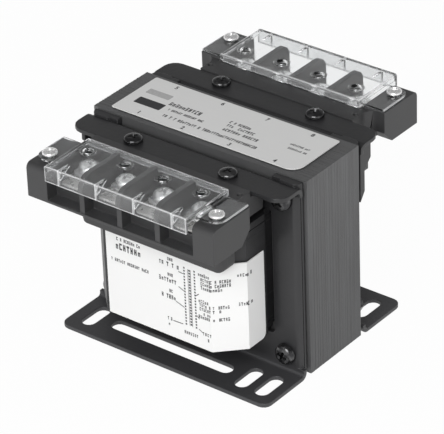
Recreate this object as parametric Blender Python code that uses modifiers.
"""Chassis mount control transformer, built at real size with +Z up.

The origin is the centre of the footprint, on the plane that the feet stand on.
The two ends are alike: each end piece is modelled on the front side, where
outwards is -Y, and its rear twin is the same piece turned half a turn about Z.
Sizes are in millimetres, and the modelling functions turn them into metres.
"""

import math

import bmesh
import bpy
from mathutils import Matrix, Vector

MM = 0.001
WELD = 0.000001
FLAT_ANGLE = math.radians(0.1)
SMOOTH_ANGLE = math.radians(35)
ARC_STEPS = 4
GAP = 0.3
CUTTER_SPARE = 1.0

# Lamination stack
CORE_LENGTH = 85.7
CORE_HEIGHT = 71.4
CORE_LIFT = 1.0
STACK_DEPTH = 27.3
LEG_WIDTH = 14.3
CORE_BOLT_INSET_X = 7.15
CORE_BOLT_INSET_Z = 7.1

# Coil, as the outline of its tape wrap, and what is wound inside it
COIL_SIDE_GAP = 0.35
COIL_SWELL = 1.7
COIL_BUILD = 23.55
COIL_CORNER = 8.4
WRAP_WALL = 0.5
PRIMARY_SHARE = 0.47
PRIMARY_CORNER = 5.0
BOBBIN_WALL = 1.2
BOBBIN_FLANGE = 1.2
BOBBIN_RIM = 1.2
BOBBIN_STEP_GAP = 0.5
BOBBIN_ROUND = 1.2

# Paper label round the front of the coil
LABEL_WALL = 0.3
LABEL_CORE_GAP = 7.05
LABEL_HEIGHT = 32.2
LABEL_LEFT = 20.0
LABEL_LOW_ROUND = 2.0

# Plate on top of the core
PLATE_END_MARGIN = 5.65
PLATE_SIDE_MARGIN = 1.95
PLATE_WALL = 0.4
PLATE_ROUND = 4.5
PLATE_SMALL_ROUND = 0.6

# Pressed steel mounting bracket
SHEET = 1.5
BEND = 1.0
RIM_INSET = 1.25
TRAY_DEPTH = 2.95
RIM_DROP = 0.5
RIM_BOTTOM = 2.2
RIM_LAND = 3.5
RIM_END_LENGTH = 10.6
WINDOW_CLEARANCE = 0.6
WINDOW_ROUND = 1.5
FLANGE_DROP = 0.7
FOLD_INSET = 0.35
FLANGE_REACH = 9.7
FLANGE_ROUND = 4.5
FOOT_REACH = 20.4
FOOT_ROUND = 3.0
SLOT_WIDTH = 5.0
SLOT_LENGTH = 12.0
SLOT_REACH = 10.6
SLOT_INSETS = (7.2, 70.8, 78.9)
LONG_SLOT_START = 14.5
LONG_SLOT_END = 21.0
GUSSET_REACH_HIGH = 5.1
GUSSET_REACH_LOW = 1.7
GUSSET_STEP_DROP = 7.2
GUSSET_END_DROP = 18.2

# Moulded terminal block
BLOCK_REACH = 16.7
EAR_WIDTH = 7.18
BLOCK_DROP = 11.2
EAR_RISE = 0.9
EAR_LAP = 1.6
EAR_ROUND = 2.0
EAR_CHAMFER_DEPTH = 4.2
EAR_CHAMFER_HEIGHT = 4.5
NECK_WALL = 0.88
NECK_FILLET = 3.5
RIDGE_RISE = 0.4
RIDGE_LAP = 2.9
HEEL_GAP = 1.9
SEAT_REACH = 2.6
SEAT_DROP = 8.7
SEAT_ROUND = 2.0
DECK_DROP = 6.3
DECK_REACH = 12.0
POCKET_FLOOR = 1.0
DIVIDER_WALL = 2.0
DIVIDER_ROUND = 3.8
DIVIDER_FRONT_STEP = 0.3
DIVIDER_SINK = 0.5
TERMINALS = 4
TERMINAL_ROW_SPARE = 3.84
TERMINAL_REACH = 3.4
NECK_DIMPLE = 1.8
NECK_DIMPLE_DEPTH = 1.0
NECK_DIMPLE_INSET = 1.4
NECK_DIMPLE_LAP = 6.6
SHROUD_INSET = 0.6
SHROUD_WALL = 1.4
SHROUD_LAP = 3.6
SHROUD_DROP = 24.8
SHROUD_ROUND = 3.0
SHROUD_CORNER = 3.0
SHROUD_SINK = 1.5

# Clear cover
COVER_RISE = 3.5
COVER_INSET = 1.92
COVER_LAP = 3.2
COVER_REACH = 18.4
COVER_WALL = 1.0
COVER_END_WALL = 0.9
COVER_APRON_DROP = 2.1
COVER_LIP = 1.75
COVER_LIP_WALL = 0.8
COVER_FLANGE_WALL = 0.7
COVER_FLANGE_REACH = 13.2
COVER_FLANGE_ROUND = 3.7
COVER_FLANGE_BACK_ROUND = 0.4
COVER_ROUND = 0.6
COVER_HOLE = 3.6
COVER_RIM_WALL = 0.9
COVER_RIM_HEIGHT = 0.3
COVER_RIB_REACH = 4.5
COVER_RIB_DROP = 3.4
COVER_RIB_WALL = 1.0
COVER_SINK = 0.3

# Terminal hardware
TERMINAL_PLATE_WALL = 0.8
TERMINAL_PLATE_SIDE_GAP = 1.78
TERMINAL_PLATE_LAP = 1.8
TERMINAL_PLATE_REACH = 11.4
TERMINAL_PLATE_ROUND = 1.0
TAB_WIDTH = 4.0
TAB_LAP = 6.3
TAB_DROP = 10.2
COLLAR_WALL = 0.85
COLLAR_DEPTH = 2.0
CLAMP_SIDE = 8.0
CLAMP_WALL = 0.9
CLAMP_CORNER = 1.2
TERMINAL_SCREW = 3.5
TERMINAL_HEAD = 7.0
TERMINAL_HEAD_HEIGHT = 2.5
TERMINAL_SCREW_DROP = 9.2
SCREW_HOLE_SPARE = 0.4
LEAD = 1.2
LEAD_STEPS = 6
SECONDARY_TERMINALS = (2, 3)

# Fasteners
FLANGE_SCREW = 3.5
FLANGE_SCREW_HEAD = 6.4
FLANGE_SCREW_HEAD_HEIGHT = 1.7
FLANGE_SCREW_DROP = 7.2
FLANGE_SCREW_X = 19.0
FLANGE_SCREW_REACH = 5.9
COVER_SCREW = 2.8
COVER_SCREW_HEAD = 5.1
COVER_SCREW_HEAD_HEIGHT = 1.2
COVER_SCREW_DROP = 6.7
COVER_SCREW_OUT = 3.18
COVER_SCREW_REACH = 9.5
CORE_BOLT = 4.0
CORE_BOLT_HEAD = 7.2
CORE_BOLT_HEAD_HEIGHT = 2.6
NUT_ACROSS_FLATS = 7.0
NUT_HEIGHT = 3.0
BOLT_PAST_NUT = 1.2
ROUND_STEPS = 12
RECESS_SHARE = 0.55
RECESS_SLOT = 0.9
RECESS_FLOOR_SHARE = 0.4
HEAD_FLAT_SHARE = 0.28
HEAD_CROWN = (0.43, 0.8)
HEAD_SIDE_SHARE = 0.4
TIP_SHARE = 0.25

# Places worked out from the sizes above
CORE_TOP = CORE_LIFT + CORE_HEIGHT
CORE_FACE = STACK_DEPTH / 2
TONGUE_WIDTH = 2 * LEG_WIDTH
YOKE_HEIGHT = LEG_WIDTH
WINDOW_LOW = CORE_LIFT + YOKE_HEIGHT
WINDOW_HIGH = CORE_TOP - YOKE_HEIGHT
BOLT_X = CORE_LENGTH / 2 - CORE_BOLT_INSET_X
BOLT_ZS = (CORE_LIFT + CORE_BOLT_INSET_Z, CORE_TOP - CORE_BOLT_INSET_Z)
BOLT_HOLE = CORE_BOLT + 2 * GAP
BOBBIN_LOW = WINDOW_LOW + GAP
BOBBIN_HIGH = WINDOW_HIGH - GAP
COIL_LOW = BOBBIN_LOW - BOBBIN_RIM
COIL_HIGH = BOBBIN_HIGH + BOBBIN_RIM
WINDING_LOW = BOBBIN_LOW + BOBBIN_FLANGE + GAP
WINDING_HIGH = BOBBIN_HIGH - BOBBIN_FLANGE - GAP
COIL_WIDTH = CORE_LENGTH - 2 * (LEG_WIDTH + COIL_SIDE_GAP)
COIL_END_WIDTH = COIL_WIDTH + 2 * COIL_SWELL
COIL_DEPTH = STACK_DEPTH + 2 * COIL_BUILD
COIL_FRONT = COIL_DEPTH / 2
PRIMARY_WIDTH = TONGUE_WIDTH + (COIL_WIDTH - TONGUE_WIDTH) * PRIMARY_SHARE
PRIMARY_DEPTH = STACK_DEPTH + (COIL_DEPTH - STACK_DEPTH) * PRIMARY_SHARE
LABEL_X = COIL_END_WIDTH / 2 + GAP + LABEL_WALL
LABEL_Y = COIL_FRONT + GAP + LABEL_WALL
LABEL_BACK = CORE_FACE + LABEL_CORE_GAP
PLATE_LENGTH = CORE_LENGTH - 2 * PLATE_END_MARGIN
PLATE_DEPTH = STACK_DEPTH - 2 * PLATE_SIDE_MARGIN
RIM_EDGE = CORE_FACE + GAP
RIM_TOP = CORE_TOP - RIM_DROP
BRACKET_WIDTH = CORE_LENGTH - 2 * RIM_INSET
BRACKET_FACE = RIM_EDGE + TRAY_DEPTH
COIL_SWELL_START = BRACKET_FACE + GAP
FOLD_WIDTH = CORE_LENGTH - 2 * FOLD_INSET
FLANGE_TOP = RIM_TOP - FLANGE_DROP
FLANGE_EDGE = BRACKET_FACE + FLANGE_REACH
FOOT_EDGE = BRACKET_FACE + FOOT_REACH
SLOT_CENTRE = BRACKET_FACE + SLOT_REACH
SLOT_PLACES = tuple(inset - FOLD_WIDTH / 2 for inset in SLOT_INSETS)
LONG_SLOT_FROM = LONG_SLOT_START - FOLD_WIDTH / 2
LONG_SLOT_TO = FOLD_WIDTH / 2 - LONG_SLOT_END
GUSSET_STEP_Z = FLANGE_TOP - GUSSET_STEP_DROP
GUSSET_END_Z = FLANGE_TOP - GUSSET_END_DROP
TERMINAL_PITCH = (COIL_WIDTH + TERMINAL_ROW_SPARE) / TERMINALS
ROW_WIDTH = TERMINALS * TERMINAL_PITCH
TROUGH_HALF = (ROW_WIDTH - DIVIDER_WALL) / 2
TERMINAL_Y = COIL_FRONT + TERMINAL_REACH
TERMINAL_XS = tuple((i - (TERMINALS - 1) / 2) * TERMINAL_PITCH for i in range(TERMINALS))
DIVIDER_XS = tuple((i - TERMINALS / 2) * TERMINAL_PITCH for i in range(1, TERMINALS))
BLOCK_WIDTH = ROW_WIDTH + 2 * EAR_WIDTH
BLOCK_FRONT = COIL_FRONT + BLOCK_REACH
BLOCK_BOTTOM = FLANGE_TOP - BLOCK_DROP
EAR_TOP = FLANGE_TOP + EAR_RISE
EAR_BACK = COIL_FRONT - EAR_LAP
NECK_WIDTH = ROW_WIDTH + 2 * NECK_WALL
RIDGE_TOP = FLANGE_TOP + RIDGE_RISE
RIDGE_FRONT = COIL_FRONT - RIDGE_LAP
RIDGE_BACK = FLANGE_EDGE + GAP
HEEL_BACK = FLANGE_EDGE + HEEL_GAP
SEAT_BACK = BRACKET_FACE + SEAT_REACH
SEAT_TOP = FLANGE_TOP - SHEET - GAP
SEAT_BOTTOM = FLANGE_TOP - SEAT_DROP
DECK_TOP = FLANGE_TOP - DECK_DROP
DECK_FRONT = COIL_FRONT + DECK_REACH
POCKET_BOTTOM = BLOCK_BOTTOM + POCKET_FLOOR
DIMPLE_X = NECK_WIDTH / 2 - NECK_DIMPLE_INSET
DIMPLE_Y = COIL_FRONT - NECK_DIMPLE_LAP
SHROUD_WIDTH = COIL_END_WIDTH - 2 * SHROUD_INSET
SHROUD_BACK = COIL_FRONT - SHROUD_LAP
SHROUD_FRONT = LABEL_Y + GAP + SHROUD_WALL
SHROUD_BOTTOM = FLANGE_TOP - SHROUD_DROP
COVER_TOP = FLANGE_TOP + COVER_RISE
COVER_UNDER = COVER_TOP - COVER_WALL
COVER_WIDTH = ROW_WIDTH - 2 * COVER_INSET
COVER_BACK = COIL_FRONT - COVER_LAP
COVER_FRONT = COIL_FRONT + COVER_REACH
COVER_APRON_BOTTOM = FLANGE_TOP - COVER_APRON_DROP
COVER_FLANGE_FRONT = COIL_FRONT + COVER_FLANGE_REACH
COVER_FLANGE_LOW = EAR_TOP + GAP
COVER_FLANGE_TOP = COVER_FLANGE_LOW + COVER_FLANGE_WALL
DIVIDER_TOP = COVER_UNDER - GAP
TERMINAL_PLATE_WIDTH = TERMINAL_PITCH - DIVIDER_WALL - 2 * TERMINAL_PLATE_SIDE_GAP
TERMINAL_PLATE_BACK = COIL_FRONT - TERMINAL_PLATE_LAP
TERMINAL_PLATE_FRONT = COIL_FRONT + TERMINAL_PLATE_REACH
TAB_Y = COIL_FRONT - TAB_LAP
TAB_BOTTOM = FLANGE_TOP - TAB_DROP
PLATE_LOW = DECK_TOP + GAP
PLATE_MIDDLE = PLATE_LOW + TERMINAL_PLATE_WALL / 2
PLATE_HIGH = PLATE_LOW + TERMINAL_PLATE_WALL
CLAMP_LOW = PLATE_HIGH + GAP
HEAD_LOW = CLAMP_LOW + CLAMP_WALL + GAP
SCREW_BORE = TERMINAL_SCREW + 2 * GAP
COLLAR_WIDTH = SCREW_BORE + 2 * COLLAR_WALL
COLLAR_LOW = PLATE_LOW - COLLAR_DEPTH
TERMINAL_SCREW_TIP = FLANGE_TOP - TERMINAL_SCREW_DROP
FLANGE_SCREW_TIP = FLANGE_TOP - FLANGE_SCREW_DROP
FLANGE_SCREW_Y = BRACKET_FACE + FLANGE_SCREW_REACH
COVER_SCREW_TIP = FLANGE_TOP - COVER_SCREW_DROP
COVER_SCREW_X = ROW_WIDTH / 2 + COVER_SCREW_OUT
COVER_SCREW_Y = COIL_FRONT + COVER_SCREW_REACH


def fresh_scene():
    for obj in list(bpy.data.objects):
        bpy.data.objects.remove(obj, do_unlink=True)


def collection(name):
    made = bpy.data.collections.new(name)
    bpy.context.scene.collection.children.link(made)
    return made


def finish(name, colour, roughness, metallic=0.0, alpha=1.0):
    made = bpy.data.materials.new(name)
    made.use_nodes = True
    shader = made.node_tree.nodes["Principled BSDF"]
    shader.inputs["Base Color"].default_value = (*colour, 1.0)
    shader.inputs["Roughness"].default_value = roughness
    shader.inputs["Metallic"].default_value = metallic
    shader.inputs["Alpha"].default_value = alpha
    made.diffuse_color = (*colour, alpha)
    return made


def rounded(corners, closed=True):
    """The points of an outline through (a, b, radius) corners, each rounded by its radius."""
    points = []
    for index, (a, b, radius) in enumerate(corners):
        here = Vector((a, b))
        at_end = not closed and index in (0, len(corners) - 1)
        if not radius or at_end:
            points.append((a, b))
            continue
        to_last = (Vector(corners[index - 1][:2]) - here).normalized()
        to_next = (Vector(corners[(index + 1) % len(corners)][:2]) - here).normalized()
        half = to_last.angle(to_next) / 2
        centre = here + (to_last + to_next).normalized() * radius / math.sin(half)
        first = here + to_last * radius / math.tan(half) - centre
        last = here + to_next * radius / math.tan(half) - centre
        start = math.atan2(first.y, first.x)
        sweep = math.remainder(math.atan2(last.y, last.x) - start, math.tau)
        for step in range(ARC_STEPS + 1):
            angle = start + sweep * step / ARC_STEPS
            points.append((centre.x + radius * math.cos(angle), centre.y + radius * math.sin(angle)))
    return points


def rectangle(a_low, a_high, b_low, b_high, radius=0.0):
    return rounded([(a_low, b_low, radius), (a_high, b_low, radius),
                    (a_high, b_high, radius), (a_low, b_high, radius)])


def disc(a, b, width, steps=ROUND_STEPS, first=0.5):
    """A round outline; first is where its first point lies, in steps from the +a side."""
    angles = [math.tau * (step + first) / steps for step in range(steps)]
    return [(a + width / 2 * math.cos(angle), b + width / 2 * math.sin(angle)) for angle in angles]


def octagon(width, depth, corner):
    """A rectangle about the origin with its four corners cut at 45 degrees."""
    half_w = width / 2
    half_d = depth / 2
    return [(half_w - corner, -half_d), (half_w, corner - half_d),
            (half_w, half_d - corner), (half_w - corner, half_d),
            (corner - half_w, half_d), (-half_w, half_d - corner),
            (-half_w, corner - half_d), (corner - half_w, -half_d)]


def coil_plan(grow=0.0):
    """The coil's outline, wider past the brackets than in the core's windows; grow adds a margin."""
    window = COIL_WIDTH / 2 + grow
    end = COIL_END_WIDTH / 2 + grow
    front = COIL_FRONT + grow
    step = COIL_SWELL_START - grow * math.tan(math.pi / 8)
    quarter = [(window, step), (end, step + end - window),
               (end, front - COIL_CORNER), (end - COIL_CORNER, front)]
    right = [(x, -y) for x, y in reversed(quarter)] + quarter
    return right + [(-x, -y) for x, y in right]


def corner_waste(a, b, side_a, side_b, radius):
    """What is cut away to round the corner (a, b), which points to side_a and side_b."""
    out_a = a + side_a * CUTTER_SPARE
    out_b = b + side_b * CUTTER_SPARE
    arc = []
    for step in range(ARC_STEPS + 1):
        angle = math.pi / 2 * step / ARC_STEPS
        arc.append((a - side_a * radius * (1 - math.cos(angle)), b - side_b * radius * (1 - math.sin(angle))))
    return arc + [(a - side_a * radius, out_b), (out_a, out_b), (out_a, b - side_b * radius)]


# A prism's outline is (x, y) along Z, (y, z) along X, and (x, z) along Y
STAND = {
    "Z": Matrix.Identity(4),
    "X": Matrix(((0, 0, 1, 0), (1, 0, 0, 0), (0, 1, 0, 0), (0, 0, 0, 1))),
    "Y": Matrix(((1, 0, 0, 0), (0, 0, 1, 0), (0, 1, 0, 0), (0, 0, 0, 1))),
}


def drawn(name, loops, low, high, along, closed):
    """The mesh of a 2D curve that is extruded from low to high along an axis."""
    curve = bpy.data.curves.new(name, "CURVE")
    curve.dimensions = "2D"
    curve.fill_mode = "BOTH" if closed else "NONE"
    curve.extrude = (high - low) / 2 * MM
    for loop in loops:
        spline = curve.splines.new("POLY")
        spline.points.add(len(loop) - 1)
        spline.use_cyclic_u = closed
        for point, (a, b) in zip(spline.points, loop):
            point.co = (a * MM, b * MM, 0, 1)
    holder = bpy.data.objects.new(name, curve)
    mesh = bpy.data.meshes.new_from_object(holder)
    bpy.data.objects.remove(holder)
    bpy.data.curves.remove(curve)
    middle = Matrix.Translation((0, 0, (low + high) / 2 * MM))
    work = bmesh.new()
    work.from_mesh(mesh)
    bmesh.ops.remove_doubles(work, verts=work.verts, dist=WELD)
    bmesh.ops.transform(work, matrix=STAND[along] @ middle, verts=work.verts)
    if closed:
        bmesh.ops.recalc_face_normals(work, faces=work.faces)
    work.to_mesh(mesh)
    work.free()
    return mesh


def prism(name, loops, low, high, along="Z"):
    """A straight solid: the first loop is its outline and the others are holes in it."""
    return drawn(name, loops, low, high, along, closed=True)


def turned(name, profile, steps=ROUND_STEPS):
    """An object turned about Z from (radius, z) points that run down its outer side."""
    mesh = bpy.data.meshes.new(name)
    points = [(radius * MM, 0, z * MM) for radius, z in profile]
    mesh.from_pydata(points, [(i, i + 1) for i in range(len(points) - 1)], [])
    obj = helper(name, mesh)
    screw = obj.modifiers.new("turn", "SCREW")
    screw.steps = steps
    screw.render_steps = steps
    screw.use_merge_vertices = True
    screw.merge_threshold = WELD
    return obj


def helper(name, mesh):
    """A cutter, or a shape that another piece is joined with: it isn't part of the object."""
    obj = bpy.data.objects.new(name, mesh)
    obj.hide_render = True
    obj.display_type = "WIRE"
    HELPERS.objects.link(obj)
    return obj


def sheet(name, path, low, high, along, thickness):
    """A folded strip: the middle line of its section, extruded and thickened to both sides."""
    obj = helper(name, drawn(name, [path], low, high, along, closed=False))
    wall = obj.modifiers.new("wall", "SOLIDIFY")
    wall.thickness = thickness * MM
    wall.offset = 0.0
    wall.use_even_offset = True
    return obj


def combine(obj, others, operation):
    for other in others:
        boolean = obj.modifiers.new(other.name, "BOOLEAN")
        boolean.operation = operation
        boolean.object = other


def join(obj, *others):
    combine(obj, others, "UNION")


def cut(obj, *others):
    combine(obj, others, "DIFFERENCE")


def box(name, x_range, y_range, z_range):
    return helper(name, prism(name, [rectangle(*x_range, *y_range)], *z_range))


def drill(name, places, width, low, high):
    """Round cutters along Z, one at each (x, y) place."""
    return [helper(f"{name}_{i}", prism(f"{name}_{i}", [disc(x, y, width)], low, high))
            for i, (x, y) in enumerate(places)]


def settled(obj):
    """The finished mesh of an object with modifiers, with its round faces shaded smooth."""
    bpy.context.view_layer.update()
    graph = bpy.context.evaluated_depsgraph_get()
    mesh = bpy.data.meshes.new_from_object(obj.evaluated_get(graph), depsgraph=graph)
    work = bmesh.new()
    work.from_mesh(mesh)
    bmesh.ops.remove_doubles(work, verts=work.verts, dist=WELD)
    bmesh.ops.dissolve_limit(work, angle_limit=FLAT_ANGLE, verts=work.verts, edges=work.edges)
    bmesh.ops.triangulate(work, faces=work.faces)
    work.to_mesh(mesh)
    work.free()
    mesh.shade_smooth()
    mesh.set_sharp_from_angle(angle=SMOOTH_ANGLE)
    return mesh


def piece(name, mesh, look, x=0.0, y=0.0, z=0.0, turn=0.0):
    """A named sub-part of the object, with its origin at (x, y, z) and turned about Z."""
    if not mesh.materials:
        mesh.materials.append(look)
    obj = bpy.data.objects.new(name, mesh)
    obj.location = (x * MM, y * MM, z * MM)
    obj.rotation_euler.z = turn
    PARTS.objects.link(obj)
    return obj


def end_piece(name, mesh, look, x=0.0, y=0.0, z=0.0):
    """The same piece at both ends of the transformer."""
    piece(f"front_{name}", mesh, look, x, y, z)
    piece(f"rear_{name}", mesh, look, -x, -y, z, math.pi)


def core():
    """E and I lamination stacks, butted below the windows."""
    look = finish("lamination_steel", (0.10, 0.10, 0.11), 0.5, 0.6)
    half = CORE_LENGTH / 2
    tongue = TONGUE_WIDTH / 2
    leg = half - LEG_WIDTH
    e_outline = [(-half, WINDOW_LOW), (-leg, WINDOW_LOW), (-leg, WINDOW_HIGH), (-tongue, WINDOW_HIGH),
                 (-tongue, WINDOW_LOW), (tongue, WINDOW_LOW), (tongue, WINDOW_HIGH), (leg, WINDOW_HIGH),
                 (leg, WINDOW_LOW), (half, WINDOW_LOW), (half, CORE_TOP), (-half, CORE_TOP)]
    low_holes = [disc(side * BOLT_X, BOLT_ZS[0], BOLT_HOLE) for side in (-1, 1)]
    high_holes = [disc(side * BOLT_X, BOLT_ZS[1], BOLT_HOLE) for side in (-1, 1)]
    i_outline = rectangle(-half, half, CORE_LIFT, WINDOW_LOW - GAP)
    piece("core_e_stack", prism("core_e_stack", [e_outline, *high_holes], -CORE_FACE, CORE_FACE, "Y"), look)
    piece("core_i_stack", prism("core_i_stack", [i_outline, *low_holes], -CORE_FACE, CORE_FACE, "Y"), look)


def bobbin():
    """A tube on the tongue with a flange at each end, thicker where it stands clear of the core."""
    look = finish("bobbin_nylon", (0.05, 0.05, 0.05), 0.5)
    inner_x = TONGUE_WIDTH / 2 + GAP
    inner_y = CORE_FACE + GAP
    wall_x = inner_x + BOBBIN_WALL
    wall_y = inner_y + BOBBIN_WALL
    tube = rectangle(-wall_x, wall_x, -wall_y, wall_y, BOBBIN_ROUND)
    rim = coil_plan()
    sleeve_low = BOBBIN_LOW + BOBBIN_FLANGE / 2
    sleeve_high = BOBBIN_HIGH - BOBBIN_FLANGE / 2
    obj = helper("bobbin_form", prism("bobbin", [tube], sleeve_low, sleeve_high))
    bottom = helper("bobbin_bottom", prism("bobbin_bottom", [rim], COIL_LOW, BOBBIN_LOW + BOBBIN_FLANGE))
    top = helper("bobbin_top", prism("bobbin_top", [rim], BOBBIN_HIGH - BOBBIN_FLANGE, COIL_HIGH))
    join(obj, bottom, top)
    low = COIL_LOW - CUTTER_SPARE
    high = COIL_HIGH + CUTTER_SPARE
    cut(obj, box("tongue_hole", (-inner_x, inner_x), (-inner_y, inner_y), (low, high)))
    wide = (-COIL_END_WIDTH, COIL_END_WIDTH)
    deep = (-CORE_FACE - BOBBIN_STEP_GAP, CORE_FACE + BOBBIN_STEP_GAP)
    cut(obj, box("bobbin_step_low", wide, deep, (low, BOBBIN_LOW)))
    cut(obj, box("bobbin_step_high", wide, deep, (BOBBIN_HIGH, high)))
    exits = [(x, side * TAB_Y) for x in TERMINAL_XS for side in (-1, 1)]
    cut(obj, *drill("lead_exit", exits, LEAD + 2 * GAP, BOBBIN_HIGH - 2 * BOBBIN_FLANGE, high))
    piece("bobbin", settled(obj), look)


def windings():
    """Primary inside, secondary round it, and the tape wrap outside."""
    copper = finish("enamelled_copper", (0.45, 0.16, 0.06), 0.35, 0.8)
    tape = finish("coil_tape", (0.03, 0.03, 0.03), 0.55)
    inner_x = TONGUE_WIDTH / 2 + GAP + BOBBIN_WALL + GAP
    inner_y = CORE_FACE + GAP + BOBBIN_WALL + GAP
    core_hole = rectangle(-inner_x, inner_x, -inner_y, inner_y, BOBBIN_ROUND + GAP)
    primary = octagon(PRIMARY_WIDTH, PRIMARY_DEPTH, PRIMARY_CORNER)
    primary_room = octagon(PRIMARY_WIDTH + 2 * GAP, PRIMARY_DEPTH + 2 * GAP, PRIMARY_CORNER)
    secondary = coil_plan(-WRAP_WALL - GAP)
    for name, loops, look in (("primary_winding", [primary, core_hole], copper),
                              ("secondary_winding", [secondary, primary_room], copper),
                              ("coil_wrap", [coil_plan(), coil_plan(-WRAP_WALL)], tape)):
        piece(name, prism(name, loops, WINDING_LOW, WINDING_HIGH), look)


def coil_label():
    """A thin band from the coil's front round its right side, with a rounded lower end corner."""
    look = finish("label_paper", (0.85, 0.85, 0.83), 0.6)
    high = COIL_LOW + LABEL_HEIGHT
    band = [coil_plan(GAP + LABEL_WALL), coil_plan(GAP)]
    obj = helper("coil_label_form", prism("coil_label", band, COIL_LOW, high))
    behind = (-LABEL_BACK, LABEL_Y + CUTTER_SPARE)
    across = (-LABEL_X - CUTTER_SPARE, LABEL_X + CUTTER_SPARE)
    tall = (COIL_LOW - CUTTER_SPARE, high + CUTTER_SPARE)
    cut(obj, box("label_back", across, behind, tall))
    cut(obj, box("label_left", (across[0], -LABEL_LEFT), (-LABEL_Y - CUTTER_SPARE, 0), tall))
    waste = corner_waste(-LABEL_BACK, COIL_LOW, 1, -1, LABEL_LOW_ROUND)
    cut(obj, helper("label_corner", prism("label_corner", [waste], *across, "X")))
    piece("coil_label", settled(obj), look)


def nameplate():
    look = finish("plate_aluminium", (0.72, 0.72, 0.72), 0.45, 0.3)
    half_x = PLATE_LENGTH / 2
    half_y = PLATE_DEPTH / 2
    outline = rounded([(-half_x, -half_y, PLATE_SMALL_ROUND), (half_x, -half_y, PLATE_ROUND),
                       (half_x, half_y, PLATE_SMALL_ROUND), (-half_x, half_y, PLATE_SMALL_ROUND)])
    low = CORE_TOP + GAP
    piece("nameplate", prism("nameplate", [outline], low, low + PLATE_WALL), look)


def foot_slots():
    reach = SLOT_LENGTH / 2
    half = SLOT_WIDTH / 2
    low = -CUTTER_SPARE
    high = SHEET + CUTTER_SPARE
    near = -SLOT_CENTRE - reach
    far = -SLOT_CENTRE + reach
    loops = [rectangle(x - half, x + half, near, far, half) for x in SLOT_PLACES]
    loops.append(rectangle(LONG_SLOT_FROM, LONG_SLOT_TO, -SLOT_CENTRE - half, -SLOT_CENTRE + half, half))
    return [helper(f"foot_slot_{i}", prism(f"foot_slot_{i}", [loop], low, high))
            for i, loop in enumerate(loops)]


def bracket():
    """Foot, face and flange folded from one strip, with rims turned back to the core."""
    look = finish("bracket_black_paint", (0.035, 0.035, 0.037), 0.4)
    half = BRACKET_WIDTH / 2
    middle = BRACKET_FACE - SHEET / 2
    turn = BEND + SHEET / 2
    flange_z = FLANGE_TOP - SHEET / 2
    section = rounded([(-FOOT_EDGE, SHEET / 2, 0), (-middle, SHEET / 2, turn),
                       (-middle, flange_z, turn), (-FLANGE_EDGE, flange_z, 0)], False)
    obj = sheet("bracket_form", section, -FOLD_WIDTH / 2, FOLD_WIDTH / 2, "X", SHEET)
    face_y = (-BRACKET_FACE - CUTTER_SPARE, -RIM_EDGE)
    face_z = (SHEET + 2 * BEND, FLANGE_TOP - SHEET - 2 * BEND)
    for side in (-1, 1):
        trim = sorted((side * (half - RIM_LAND), side * FOLD_WIDTH))
        cut(obj, box(f"face_trim_{side}", trim, face_y, face_z))
    rims = []
    for side in (-1, 1):
        edge = side * (half - SHEET / 2)
        fold = rounded([(side * (half - 2 * RIM_LAND), -middle, 0), (edge, -middle, turn),
                        (edge, -RIM_EDGE, 0)], False)
        rims.append(sheet(f"rim_{side}", fold, RIM_BOTTOM, RIM_TOP, "Z", SHEET))
        end = sorted((side * (half - RIM_END_LENGTH), side * (half - SHEET / 2)))
        end_y = (-middle, -RIM_EDGE)
        rims.append(box(f"rim_end_{side}", end, end_y, (RIM_TOP - 2 * SHEET, RIM_TOP)))
    join(obj, *rims, gusset(-half))
    window_x = LABEL_X + WINDOW_CLEARANCE
    window_z = (COIL_LOW - WINDOW_CLEARANCE, COIL_HIGH + WINDOW_CLEARANCE)
    window = rectangle(-window_x, window_x, *window_z, WINDOW_ROUND)
    cut(obj, helper("window", prism("window", [window], *face_y, "Y")))
    for x in (-BOLT_X, BOLT_X):
        for z in BOLT_ZS:
            name = f"bolt_hole_{x:.0f}_{z:.0f}"
            cut(obj, helper(name, prism(name, [disc(x, z, BOLT_HOLE)], *face_y, "Y")))
    cut(obj, *foot_slots())
    screws = [(x, -FLANGE_SCREW_Y) for x in (-FLANGE_SCREW_X, FLANGE_SCREW_X)]
    through = (FLANGE_TOP - SHEET - CUTTER_SPARE, FLANGE_TOP + CUTTER_SPARE)
    cut(obj, *drill("flange_hole", screws, FLANGE_SCREW + 2 * GAP, *through))
    for side in (-1, 1):
        foot = corner_waste(side * FOLD_WIDTH / 2, -FOOT_EDGE, side, -1, FOOT_ROUND)
        name = f"foot_corner_{side}"
        cut(obj, helper(name, prism(name, [foot], -CUTTER_SPARE, 2 * SHEET)))
        flange = corner_waste(side * FOLD_WIDTH / 2, -FLANGE_EDGE, side, -1, FLANGE_ROUND)
        cut(obj, helper(f"flange_corner_{side}", prism(f"flange_corner_{side}", [flange], *through)))
    end_piece("bracket", settled(obj), look)


def gusset(edge):
    """The stepped stiffener that stands out from one rim, under the flange."""
    high = FLANGE_TOP - SHEET / 2
    deep = BRACKET_FACE + GUSSET_REACH_HIGH
    shallow = BRACKET_FACE + GUSSET_REACH_LOW
    slope = GUSSET_REACH_HIGH - GUSSET_REACH_LOW
    inside = BRACKET_FACE - SHEET / 2
    outline = [(-inside, high), (-deep, high), (-deep, GUSSET_STEP_Z), (-shallow, GUSSET_STEP_Z - slope),
               (-shallow, GUSSET_END_Z), (-inside, GUSSET_END_Z - 2 * GUSSET_REACH_LOW)]
    return helper("gusset", prism("gusset", [outline], edge, edge + SHEET, "X"))


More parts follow.
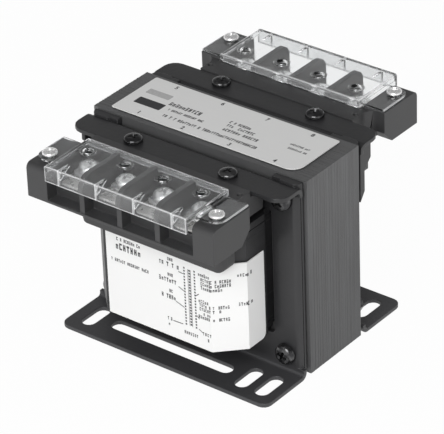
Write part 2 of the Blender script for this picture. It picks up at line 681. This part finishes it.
def terminal_block():
    """One moulding: ears, deck, wire pockets, dividers, fixing seat and coil shroud."""
    look = finish("block_phenolic", (0.03, 0.03, 0.03), 0.45)
    ear = BLOCK_WIDTH / 2
    neck = NECK_WIDTH / 2
    plan = rounded([(-ear, -BLOCK_FRONT, 0), (ear, -BLOCK_FRONT, 0), (ear, -EAR_BACK, 0),
                    (neck, -EAR_BACK, NECK_FILLET), (neck, -SEAT_BACK, SEAT_ROUND),
                    (-neck, -SEAT_BACK, SEAT_ROUND), (-neck, -EAR_BACK, NECK_FILLET), (-ear, -EAR_BACK, 0)])
    obj = helper("terminal_block_form", prism("terminal_block", [plan], BLOCK_BOTTOM, EAR_TOP))
    over = EAR_TOP + CUTTER_SPARE
    under = BLOCK_BOTTOM - CUTTER_SPARE
    front = -BLOCK_FRONT - CUTTER_SPARE
    across = (-ear, ear)
    cut(obj, box("seat_top", across, (-RIDGE_BACK, 0), (SEAT_TOP, over)))
    cut(obj, box("seat_under", across, (-HEEL_BACK, 0), (under, SEAT_BOTTOM)))
    cut(obj, box("ridge_level", across, (-RIDGE_FRONT - CUTTER_SPARE, 0), (RIDGE_TOP, over)))
    trough = (-TROUGH_HALF, TROUGH_HALF)
    cut(obj, box("trough", trough, (front, -RIDGE_FRONT), (DECK_TOP, over)))
    cut(obj, box("pocket", trough, (front, -DECK_FRONT), (POCKET_BOTTOM, DECK_TOP + CUTTER_SPARE)))
    ear_edge = corner_waste(-BLOCK_FRONT, EAR_TOP, -1, 1, EAR_ROUND)
    wide = (-ear - CUTTER_SPARE, ear + CUTTER_SPARE)
    cut(obj, helper("ear_edge", prism("ear_edge", [ear_edge], *wide, "X")))
    chamfer = [(-EAR_BACK + CUTTER_SPARE, under), (-EAR_BACK - EAR_CHAMFER_DEPTH, under),
               (-EAR_BACK - EAR_CHAMFER_DEPTH, BLOCK_BOTTOM), (-EAR_BACK, BLOCK_BOTTOM + EAR_CHAMFER_HEIGHT),
               (-EAR_BACK + CUTTER_SPARE, BLOCK_BOTTOM + EAR_CHAMFER_HEIGHT)]
    for side in (-1, 1):
        reach = sorted((side * (neck + GAP), side * (ear + CUTTER_SPARE)))
        cut(obj, helper(f"ear_chamfer_{side}", prism(f"ear_chamfer_{side}", [chamfer], *reach, "X")))
    join(obj, shroud(), *dividers())
    block_holes(obj)
    end_piece("terminal_block", settled(obj), look)


def dividers():
    """The walls between terminals, notched for the cover's lip and rounded at the front."""
    low = BLOCK_BOTTOM + DIVIDER_SINK
    back = -RIDGE_FRONT + DIVIDER_SINK
    notch = -COVER_BACK - COVER_LIP_WALL - GAP
    front = -BLOCK_FRONT + DIVIDER_FRONT_STEP
    notch_z = RIDGE_TOP - GAP
    outline = rounded([(back, low, 0), (front, low, 0), (front, DIVIDER_TOP, DIVIDER_ROUND),
                       (notch, DIVIDER_TOP, 0), (notch, notch_z, 0), (back, notch_z, 0)])
    half = DIVIDER_WALL / 2
    return [helper(f"divider_{i}", prism(f"divider_{i}", [outline], x - half, x + half, "X"))
            for i, x in enumerate(DIVIDER_XS)]


def shroud():
    """The apron that hugs the front of the coil below the block."""
    outer = SHROUD_WIDTH / 2
    inner = outer - SHROUD_WALL
    back = -SHROUD_FRONT + SHROUD_WALL
    plan = rounded([(-outer, -SHROUD_BACK, 0), (-outer, -SHROUD_FRONT, SHROUD_ROUND),
                    (outer, -SHROUD_FRONT, SHROUD_ROUND), (outer, -SHROUD_BACK, 0), (inner, -SHROUD_BACK, 0),
                    (inner, back, SHROUD_ROUND - SHROUD_WALL), (-inner, back, SHROUD_ROUND - SHROUD_WALL),
                    (-inner, -SHROUD_BACK, 0)])
    obj = helper("shroud", prism("shroud", [plan], SHROUD_BOTTOM, BLOCK_BOTTOM + SHROUD_SINK))
    for side in (-1, 1):
        waste = corner_waste(side * outer, SHROUD_BOTTOM, side, -1, SHROUD_CORNER)
        deep = (-SHROUD_FRONT - CUTTER_SPARE, -SHROUD_BACK + CUTTER_SPARE)
        cut(obj, helper(f"shroud_corner_{side}", prism(f"shroud_corner_{side}", [waste], *deep, "Y")))
    return obj


def block_holes(obj):
    """Screw holes, collar seats and tab slots in the terminal block."""
    places = [(x, -TERMINAL_Y) for x in TERMINAL_XS]
    cut(obj, *drill("collar_seat", places, COLLAR_WIDTH + 2 * GAP, COLLAR_LOW - GAP, DECK_TOP + CUTTER_SPARE))
    tip = TERMINAL_SCREW_TIP - SCREW_HOLE_SPARE
    cut(obj, *drill("screw_hole", places, SCREW_BORE, tip, COLLAR_LOW))
    slot = TAB_WIDTH / 2 + GAP
    slot_y = (-RIDGE_FRONT - GAP, -TAB_Y + TERMINAL_PLATE_WALL / 2 + GAP)
    slot_z = (BLOCK_BOTTOM - CUTTER_SPARE, PLATE_HIGH + GAP)
    for i, x in enumerate(TERMINAL_XS):
        cut(obj, box(f"tab_slot_{i}", (x - slot, x + slot), slot_y, slot_z))
    seats = [(x, -FLANGE_SCREW_Y) for x in (-FLANGE_SCREW_X, FLANGE_SCREW_X)]
    seat_tip = FLANGE_SCREW_TIP - SCREW_HOLE_SPARE
    cut(obj, *drill("flange_screw_hole", seats, FLANGE_SCREW + 2 * GAP, seat_tip, SEAT_TOP + CUTTER_SPARE))
    ears = [(x, -COVER_SCREW_Y) for x in (-COVER_SCREW_X, COVER_SCREW_X)]
    ear_tip = COVER_SCREW_TIP - SCREW_HOLE_SPARE
    cut(obj, *drill("cover_screw_hole", ears, COVER_SCREW + 2 * GAP, ear_tip, EAR_TOP + CUTTER_SPARE))
    dimples = [(x, -DIMPLE_Y) for x in (-DIMPLE_X, DIMPLE_X)]
    dimple_floor = RIDGE_TOP - NECK_DIMPLE_DEPTH
    cut(obj, *drill("neck_dimple", dimples, NECK_DIMPLE, dimple_floor, RIDGE_TOP + CUTTER_SPARE))


def cover():
    """Clear hat-shaped cover with a front apron, inner lip, ribs and rimmed screwdriver holes."""
    look = finish("cover_clear", (0.80, 0.82, 0.84), 0.12, 0.0, 0.35)
    half = COVER_WIDTH / 2
    inner = half - COVER_END_WALL
    hat = rounded([(-half, COVER_FLANGE_LOW, 0), (-half, COVER_TOP, COVER_ROUND),
                   (half, COVER_TOP, COVER_ROUND), (half, COVER_FLANGE_LOW, 0),
                   (inner, COVER_FLANGE_LOW, 0), (inner, COVER_UNDER, 0),
                   (-inner, COVER_UNDER, 0), (-inner, COVER_FLANGE_LOW, 0)])
    obj = helper("cover_form", prism("cover", [hat], -COVER_FRONT, -COVER_BACK, "Y"))
    inside = (-inner, inner)
    apron = (-COVER_FRONT, -COVER_FRONT + COVER_WALL)
    full = (-half, half)
    join(obj, box("apron", full, apron, (COVER_APRON_BOTTOM, COVER_FLANGE_LOW + COVER_SINK)))
    join(obj, box("apron_fill", inside, apron, (COVER_FLANGE_LOW, COVER_UNDER + COVER_SINK)))
    lip = (-COVER_BACK - COVER_LIP_WALL, -COVER_BACK)
    join(obj, box("lip", inside, lip, (COVER_UNDER - COVER_LIP, COVER_UNDER + COVER_SINK)))
    for side in (-1, 1):
        tip = side * (BLOCK_WIDTH / 2 - GAP)
        root = side * (half - COVER_SINK)
        plan = rounded([(root, -EAR_BACK, 0), (tip, -EAR_BACK, COVER_FLANGE_BACK_ROUND),
                        (tip, -COVER_FLANGE_FRONT, COVER_FLANGE_ROUND), (root, -COVER_FLANGE_FRONT, 0)])
        name = f"cover_flange_{side}"
        join(obj, helper(name, prism(name, [plan], COVER_FLANGE_LOW, COVER_FLANGE_TOP)))
    rib_back = -COVER_FRONT + COVER_WALL + COVER_RIB_REACH
    rib_front = -COVER_FRONT + COVER_SINK
    rib = [(rib_front, COVER_UNDER + COVER_SINK), (rib_back, COVER_UNDER + COVER_SINK),
           (rib_back, COVER_UNDER - COVER_SINK), (rib_front, COVER_UNDER - COVER_RIB_DROP)]
    for i, x in enumerate(TERMINAL_XS):
        ends = (x - COVER_RIB_WALL / 2, x + COVER_RIB_WALL / 2)
        join(obj, helper(f"rib_{i}", prism(f"rib_{i}", [rib], *ends, "X")))
    holes = [(x, -TERMINAL_Y) for x in TERMINAL_XS]
    rim_width = COVER_HOLE + 2 * COVER_RIM_WALL
    join(obj, *drill("cover_rim", holes, rim_width, COVER_TOP - COVER_SINK, COVER_TOP + COVER_RIM_HEIGHT))
    cut(obj, *drill("cover_hole", holes, COVER_HOLE, COVER_UNDER - CUTTER_SPARE, COVER_TOP + CUTTER_SPARE))
    ears = [(x, -COVER_SCREW_Y) for x in (-COVER_SCREW_X, COVER_SCREW_X)]
    flange_z = (COVER_FLANGE_LOW - CUTTER_SPARE, COVER_FLANGE_TOP + CUTTER_SPARE)
    cut(obj, *drill("cover_ear_hole", ears, COVER_SCREW + 2 * GAP, *flange_z))
    end_piece("cover", settled(obj), look)


def terminal_plate():
    """Plated strip on the deck, with a threaded collar under it and a tab down to the lead."""
    look = finish("terminal_tinned_brass", (0.75, 0.74, 0.70), 0.3, 0.9)
    bend = TERMINAL_PLATE_WALL
    path = rounded([(-TERMINAL_PLATE_FRONT, PLATE_MIDDLE, 0), (-TAB_Y, PLATE_MIDDLE, bend),
                    (-TAB_Y, TAB_BOTTOM, 0)], False)
    half = TERMINAL_PLATE_WIDTH / 2
    obj = sheet("terminal_plate_form", path, -half, half, "X", TERMINAL_PLATE_WALL)
    strip_y = (-TERMINAL_PLATE_BACK, 0)
    strip_z = (TAB_BOTTOM - CUTTER_SPARE, PLATE_HIGH + CUTTER_SPARE)
    for side in (-1, 1):
        beside = sorted((side * TAB_WIDTH / 2, side * (half + CUTTER_SPARE)))
        cut(obj, box(f"tab_side_{side}", beside, strip_y, strip_z))
        waste = corner_waste(side * half, -TERMINAL_PLATE_FRONT, side, -1, TERMINAL_PLATE_ROUND)
        name = f"plate_corner_{side}"
        cut(obj, helper(name, prism(name, [waste], *strip_z)))
    centre = [(0, -TERMINAL_Y)]
    join(obj, *drill("collar", centre, COLLAR_WIDTH, COLLAR_LOW, PLATE_MIDDLE))
    cut(obj, *drill("collar_bore", centre, SCREW_BORE, COLLAR_LOW - CUTTER_SPARE, PLATE_HIGH + CUTTER_SPARE))
    mesh = settled(obj)
    for i, x in enumerate(TERMINAL_XS, 1):
        end_piece(f"terminal_plate_{i}", mesh, look, x)


def clamp_plate():
    """Square clamp washer, held on the screw."""
    look = finish("clamp_zinc", (0.62, 0.62, 0.63), 0.3, 1.0)
    outline = octagon(CLAMP_SIDE, CLAMP_SIDE, CLAMP_CORNER)
    mesh = prism("clamp_plate", [outline, disc(0, 0, SCREW_BORE)], 0, CLAMP_WALL)
    for i, x in enumerate(TERMINAL_XS, 1):
        end_piece(f"clamp_plate_{i}", mesh, look, x, -TERMINAL_Y, CLAMP_LOW)


def screw_mesh(name, shank, length, head, height):
    """A pan-head screw with a cross recess; the underside of its head is at z = 0."""
    tip = shank * TIP_SHARE
    crown = (head * HEAD_CROWN[0], height * HEAD_CROWN[1])
    profile = [(0, height), (head * HEAD_FLAT_SHARE, height), crown, (head / 2, height * HEAD_SIDE_SHARE),
               (head / 2, 0), (shank / 2, 0), (shank / 2, tip - length), (shank / 2 - tip, -length),
               (0, -length)]
    obj = turned(f"{name}_form", profile)
    reach = head * RECESS_SHARE / 2
    half = RECESS_SLOT / 2
    depth = (height * RECESS_FLOOR_SHARE, height + CUTTER_SPARE)
    cut(obj, box(f"{name}_cross_x", (-reach, reach), (-half, half), depth))
    cut(obj, box(f"{name}_cross_y", (-half, half), (-reach, reach), depth))
    return settled(obj)


def screws():
    zinc = finish("screw_zinc", (0.66, 0.66, 0.66), 0.25, 1.0)
    black = finish("screw_black", (0.05, 0.05, 0.05), 0.35, 0.6)
    terminal = screw_mesh("terminal_screw", TERMINAL_SCREW, HEAD_LOW - TERMINAL_SCREW_TIP,
                          TERMINAL_HEAD, TERMINAL_HEAD_HEIGHT)
    for i, x in enumerate(TERMINAL_XS, 1):
        end_piece(f"terminal_screw_{i}", terminal, zinc, x, -TERMINAL_Y, HEAD_LOW)
    flange_seat = FLANGE_TOP + GAP
    flange = screw_mesh("flange_screw", FLANGE_SCREW, flange_seat - FLANGE_SCREW_TIP,
                        FLANGE_SCREW_HEAD, FLANGE_SCREW_HEAD_HEIGHT)
    cover_seat = COVER_FLANGE_TOP + GAP
    ear = screw_mesh("cover_screw", COVER_SCREW, cover_seat - COVER_SCREW_TIP,
                     COVER_SCREW_HEAD, COVER_SCREW_HEAD_HEIGHT)
    for hand, side in (("left", -1), ("right", 1)):
        end_piece(f"flange_screw_{hand}", flange, black, side * FLANGE_SCREW_X, -FLANGE_SCREW_Y, flange_seat)
        end_piece(f"cover_screw_{hand}", ear, zinc, side * COVER_SCREW_X, -COVER_SCREW_Y, cover_seat)


def core_bolts():
    """Four bolts through both brackets and the core, with nuts on the rear bracket."""
    look = finish("bolt_black", (0.05, 0.05, 0.05), 0.4, 0.6)
    seat = BRACKET_FACE + GAP
    length = 2 * seat + NUT_HEIGHT + BOLT_PAST_NUT
    mesh = screw_mesh("core_bolt", CORE_BOLT, length, CORE_BOLT_HEAD, CORE_BOLT_HEAD_HEIGHT)
    mesh.transform(Matrix.Rotation(math.pi / 2, 4, "X"))
    across_corners = NUT_ACROSS_FLATS / math.cos(math.pi / 6)
    nut_loops = [disc(0, 0, across_corners, 6, 0), disc(0, 0, CORE_BOLT + 2 * GAP)]
    nut = prism("core_nut", nut_loops, 0, NUT_HEIGHT, "Y")
    for height, z in zip(("lower", "upper"), BOLT_ZS):
        for hand, x in (("left", -BOLT_X), ("right", BOLT_X)):
            piece(f"core_bolt_{height}_{hand}", mesh, look, x, -seat, z)
            piece(f"core_nut_{height}_{hand}", nut, look, x, seat, z)


def leads():
    """Wire ends up through the bobbin to the tabs: four behind, and two of the secondary in front."""
    look = finish("lead_copper", (0.50, 0.20, 0.08), 0.35, 0.8)
    mesh = prism("lead", [disc(0, 0, LEAD, LEAD_STEPS)], 0, TAB_BOTTOM - WINDING_HIGH - 2 * GAP)
    low = WINDING_HIGH + GAP
    for i, x in enumerate(TERMINAL_XS, 1):
        piece(f"rear_lead_{i}", mesh, look, -x, TAB_Y, low)
        if i in SECONDARY_TERMINALS:
            piece(f"front_lead_{i}", mesh, look, x, -TAB_Y, low)


fresh_scene()
PARTS = collection("chassis_mount_transformer")
HELPERS = collection("cutters_and_joined_shapes")
core()
bobbin()
windings()
coil_label()
nameplate()
bracket()
terminal_block()
cover()
terminal_plate()
clamp_plate()
screws()
core_bolts()
leads()
